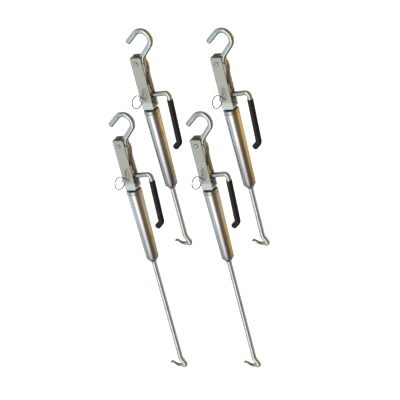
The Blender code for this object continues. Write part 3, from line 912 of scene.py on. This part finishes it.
def make_world():
    world = bpy.data.worlds.new("studio")
    bpy.context.scene.world = world
    world.use_nodes = True
    tree = world.node_tree
    add, link = tree.nodes.new, tree.links.new
    ways = add("ShaderNodeSeparateXYZ")
    link(add("ShaderNodeTexCoord").outputs["Generated"], ways.inputs[0])
    angle = add("ShaderNodeMath")
    angle.operation = "ARCTAN2"
    link(ways.outputs["X"], angle.inputs[0])
    link(ways.outputs["Z"], angle.inputs[1])
    share = add("ShaderNodeMapRange")
    share.inputs["From Min"].default_value = -math.pi
    share.inputs["From Max"].default_value = math.pi
    link(angle.outputs[0], share.inputs["Value"])
    bands = add("ShaderNodeValToRGB")
    elements = bands.color_ramp.elements
    while len(elements) < len(BANDS):
        elements.new(0.5)
    for element, (degrees, light) in zip(elements, BANDS):
        element.position = (degrees + 180) / 360
        element.color = (*light, 1.0)
    link(share.outputs[0], bands.inputs["Fac"])
    depth = add("ShaderNodeMapRange")
    depth.inputs["From Min"].default_value = -1.0
    link(ways.outputs["Y"], depth.inputs["Value"])
    ends = add("ShaderNodeValToRGB")
    end_stops = (
        (0.0, (0.26, 0.28, 0.29)), (0.05, (0.42, 0.44, 0.45)), (0.12, (0.86, 0.88, 0.89)),
        (0.27, (1.0, 1.0, 1.0)), (0.64, (1.0, 1.0, 1.0)), (0.74, (0.88, 0.87, 0.82)),
        (0.86, (0.58, 0.57, 0.50)), (1.0, (0.42, 0.42, 0.36)),
    )
    elements = ends.color_ramp.elements
    while len(elements) < len(end_stops):
        elements.new(0.5)
    for element, (at, colour) in zip(elements, end_stops):
        element.position = at
        element.color = (*colour, 1.0)
    link(depth.outputs[0], ends.inputs["Fac"])
    both = add("ShaderNodeMix")
    both.data_type = "RGBA"
    both.blend_type = "MULTIPLY"
    both.inputs[0].default_value = 1.0
    link(bands.outputs["Color"], both.inputs[6])
    link(ends.outputs["Color"], both.inputs[7])
    background = tree.nodes["Background"]
    link(both.outputs[2], background.inputs["Color"])
    background.inputs["Strength"].default_value = 1.0


def stage_material(name, colour, glow):
    look = Look(name, colour, 0.0, 0.9)
    look.shader.inputs["Specular IOR Level"].default_value = 0.0
    look.shader.inputs["Emission Color"].default_value = (1.0, 1.0, 1.0, 1.0)
    look.shader.inputs["Emission Strength"].default_value = glow
    return look.material


def make_stage():
    """A pale floor and a pale dome round it. The metal sees the studio's bands instead of them."""
    size, low, n = 9000, -0.1, 47
    corners = [(-size, -size, low), (size, -size, low), (size, size, low), (-size, size, low)]
    floor = bpy.data.objects.new("floor", solid("floor", corners, [(0, 1, 2, 3)]))
    floor.data.materials.append(stage_material("floor", (0.55, 0.55, 0.55), 0.82))
    rings = [(size * math.cos(math.radians(a)), size * math.sin(math.radians(a))) for a in range(0, 86, 5)]
    around = np.linspace(0, 2 * math.pi, n + 1)[:-1]
    verts = [(r * math.cos(t), r * math.sin(t), h) for r, h in rings for t in around]
    faces = [(i * n + k, i * n + (k + 1) % n, (i + 1) * n + (k + 1) % n, (i + 1) * n + k)
             for i in range(len(rings) - 1) for k in range(n)]
    dome = bpy.data.objects.new("backdrop", solid("backdrop", verts, faces))
    dome.data.materials.append(stage_material("backdrop", (0.0, 0.0, 0.0), 0.97))
    for obj in (floor, dome):
        bpy.context.scene.collection.objects.link(obj)
        obj.visible_glossy = False
    dome.visible_diffuse = False
    dome.visible_shadow = False


def make_cards(units):
    """A light card along the right of each lower rod, which only reflections see."""
    look = stage_material("card", (0.0, 0.0, 0.0), 0.42)
    radius, bend = 30, np.radians(np.linspace(62, 186, 13))
    for unit in units:
        origin = unit.matrix.translation / MM
        high, low = origin.y - unit.barrel - 12.0, origin.y - unit.reach - 2.0
        verts = [(origin.x + radius * math.sin(a), y, origin.z + radius * math.cos(a))
                 for y in (high, low) for a in bend]
        faces = [(i, i + 1, i + 14, i + 13) for i in range(12)]
        card = bpy.data.objects.new("card_" + unit.name, solid("card", verts, faces))
        card.data.materials.append(look)
        bpy.context.scene.collection.objects.link(card)
        card.visible_camera = card.visible_diffuse = card.visible_shadow = False


def make_lights():
    """One very soft overhead fill, which reflections do not see."""
    fill = bpy.data.lights.new("fill", "SUN")
    fill.energy = 2.0
    fill.angle = math.radians(150)
    lamp = bpy.data.objects.new("fill", fill)
    lamp.rotation_euler = (math.radians(-8), math.radians(-14), 0)
    lamp.visible_glossy = False
    bpy.context.scene.collection.objects.link(lamp)


def make_camera():
    turn = Matrix.Rotation(math.radians(CAMERA_TURN), 4, "Z")
    tilt = Matrix.Rotation(math.radians(CAMERA_TILT), 4, "X")
    roll = Matrix.Rotation(math.radians(CAMERA_ROLL), 4, "Z")
    away = Matrix.Translation((0.0, 0.0, CAMERA_DISTANCE))
    data = bpy.data.cameras.new("camera")
    data.sensor_width = 36.0
    data.lens = data.sensor_width * CAMERA_DISTANCE / VIEW_WIDTH
    data.clip_start, data.clip_end = 0.1, 60.0
    camera = bpy.data.objects.new("camera", data)
    camera.matrix_world = Matrix.Translation(CAMERA_AIM) @ turn @ tilt @ roll @ away
    bpy.context.scene.collection.objects.link(camera)
    bpy.context.scene.camera = camera
    bpy.context.scene.view_settings.view_transform = "Standard"


def make_kit():
    sheet = zinc_look(
        "zinc_sheet", (0.68, 0.68, 0.64), (0.61, 0.62, 0.60), 0.12, 0.22, (420, 24, 420), False)
    plating = ((0.78, 0.80, 0.81), (0.66, 0.68, 0.70), 0.10, 0.22, (24, 1100, 1100))
    bar = zinc_look("zinc_bar", *plating, True)
    # The rod's thin return leg is painted dark olive: painted shade.
    rod_bar = zinc_look("zinc_rod", *plating, True, thin_leg_shade=(0.30, 0.29, 0.21))
    turned_lines = (24, 500, 500)
    rivet = zinc_look("zinc_rivet", (0.62, 0.63, 0.62), (0.54, 0.55, 0.55), 0.34, 0.46, turned_lines, True)
    # The pull pin's pale blue colour is a painted reflection, standing in for the bluish highlight on its
    # head.
    pull = zinc_look("zinc_pull_pin", (0.74, 0.82, 0.88), (0.60, 0.68, 0.74), 0.16, 0.30, turned_lines, True)
    ring = dull_look("ring_wire", (0.05, 0.052, 0.055), (0.15, 0.155, 0.16), 0.30, 0.46)
    edge = edge_look()
    # The tube's second colour is painted shade towards its foot.
    steel = steel_look("polished_steel", (0.84, 0.84, 0.84), (0.48, 0.47, 0.47), 0.11)
    cap = cap_look()
    plated = dull_look("grey_plating", (0.20, 0.22, 0.24), (0.40, 0.43, 0.46), 0.26, 0.44)
    wire = dull_look("spring_steel", (0.14, 0.14, 0.15), (0.30, 0.30, 0.31), 0.30, 0.50)
    weld = dull_look("weld", (0.28, 0.26, 0.24), (0.55, 0.54, 0.53), 0.28, 0.50)
    vinyl = vinyl_look()
    sheet_slot, bar_slot, steel_slot = "zinc_plated_sheet", "zinc_plated_bar", "polished_steel"
    shared = (
        (channel_mesh((sheet, edge)), "channel_section", "channel", "channel", sheet_slot, (sheet, edge)),
        (rivet_mesh(), "lever_rivet", "channel", "lever_pin", bar_slot, (rivet,)),
        (lever_frame_mesh((sheet, edge)), "lever_cheeks", "lever", "lever_frame", sheet_slot, (sheet, edge)),
        (lever_arm_mesh(), "lever_bar", "lever", "lever_arm", bar_slot, (bar,)),
        (grip_mesh(), "grip_sleeve", "lever", "grip", "black_vinyl", (vinyl,)),
        (weld_mesh(1), "near_weld", "lever", None, bar_slot, (weld,)),
        (weld_mesh(-1), "far_weld", "lever", None, bar_slot, (weld,)),
        (link_pin_mesh(), "link_rivet", "lever", "link_pin", bar_slot, (rivet,)),
        (top_hook_mesh(), "hook_bar", "hook", "top_hook", bar_slot, (bar,)),
        (lock_pin_mesh(), "locking_pin", "lock_pin", "lock_pin", bar_slot, (pull,)),
        (split_ring_mesh(), "split_ring", "ring", "lock_ring", bar_slot, (ring,)),
        (draw_bolt_mesh(), "hex_bolt", "channel", "draw_bolt", "grey_plating", (plated,)),
        (spring_mesh(), "coil_spring", "channel", "spring", "spring_steel", (wire,)),
        (top_cap_mesh(), "cap", "barrel", "top_cap", "grey_plating", (cap,)),
    )
    made = {}
    units = [Unit(name) for name in UNITS]
    for unit in units:
        for mesh, label, body, node, slot, looks in shared:
            obj = unit.add(mesh, label, body, node, slot, looks)
            # The lever arms and grips stay out of every reflection: they darken the barrels beside them.
            obj.visible_glossy = node not in ("grip", "lever_arm")
        key = (round(unit.barrel, 3), unit.reach)
        if key not in made:
            made[key] = (
                barrel_mesh(unit.barrel),
                end_cap_mesh(unit.barrel),
                hook_rod_mesh(unit.barrel, unit.reach),
            )
        tube, nose, rod = made[key]
        unit.add(tube, "tube", "barrel", "barrel_tube", steel_slot, (steel,))
        unit.add(nose, "nose", "barrel", "end_cap", steel_slot, (steel,))
        unit.add(rod, "rod", "rod", "hook_rod", bar_slot, (rod_bar,))
    return units


kit = make_kit()
make_world()
make_stage()
make_cards(kit)
make_lights()
make_camera()

bpy.context.view_layer.update()
